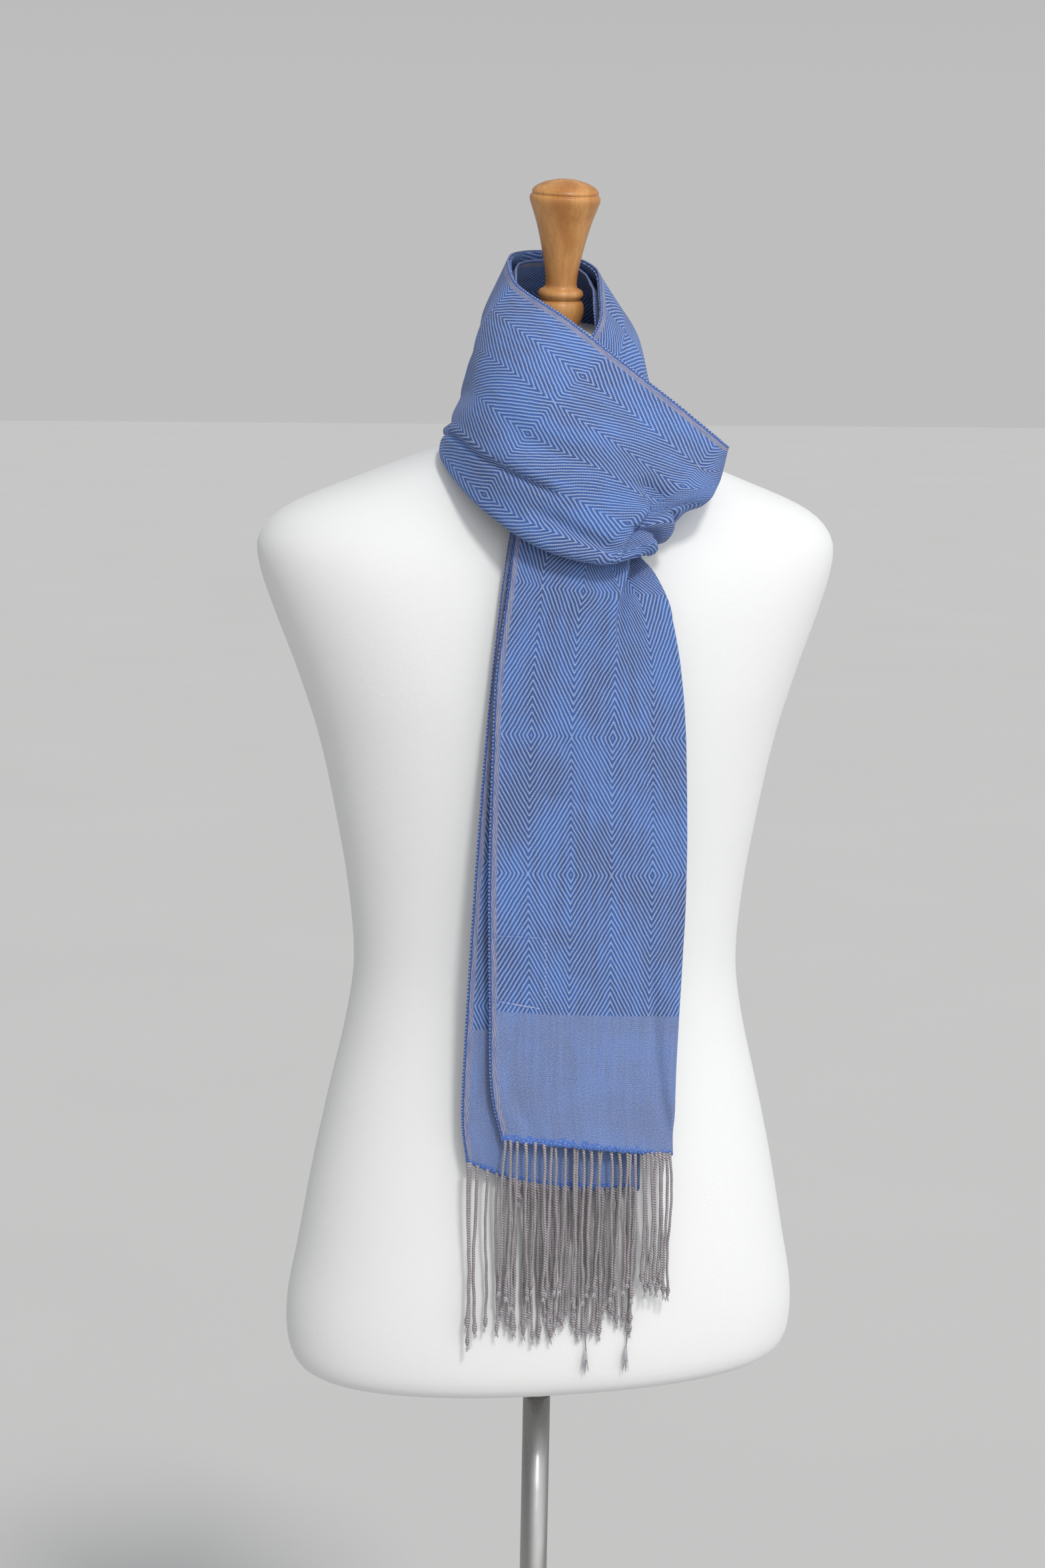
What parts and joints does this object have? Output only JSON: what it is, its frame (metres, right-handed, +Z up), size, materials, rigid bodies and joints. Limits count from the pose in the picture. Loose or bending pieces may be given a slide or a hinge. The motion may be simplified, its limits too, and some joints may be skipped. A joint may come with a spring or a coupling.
{
  "type": "blue wool scarf worn on a dress form",
  "caption": "Long fringed blue diamond-twill scarf folded lengthwise and loop-wrapped round the neck of a white limbless dress form on a round-based pole stand.",
  "frame": {"origin": "centre of the underside of the round base, on the pole's axis", "axes": "+Z up along the pole, -Y the way the form and the scarf's front face, +X to the right of someone facing the form"},
  "size_m": [0.45, 0.38, 1.7226],
  "materials": {
    "stand_metal": "brushed chromed steel tube and plate",
    "torso_cover": "white stretch jersey over a hard form",
    "neck_wood": "turned and varnished light wood",
    "scarf_cloth": "matte wool in diamond twill, blue with pale stitches, deep blue selvedge",
    "fringe_cord": "twisted two-ply taupe and silver-grey wool cords"
  },
  "bodies": {
    "root": {"stand_base": "stand_metal", "stand_foot": "stand_metal", "stand_pole": "stand_metal", "stand_socket": "stand_metal", "torso": "torso_cover", "neck_block": "neck_wood", "scarf_loop_under": "scarf_cloth", "scarf_band": "scarf_cloth", "scarf_collar_left": "scarf_cloth", "scarf_collar_back": "scarf_cloth", "scarf_collar_right": "scarf_cloth", "scarf_tail_front": "scarf_cloth", "scarf_tail_back": "scarf_cloth", "scarf_collar_inner": "scarf_cloth", "fringe_front": "fringe_cord", "fringe_back": "fringe_cord"}
  },
  "joints": []
}
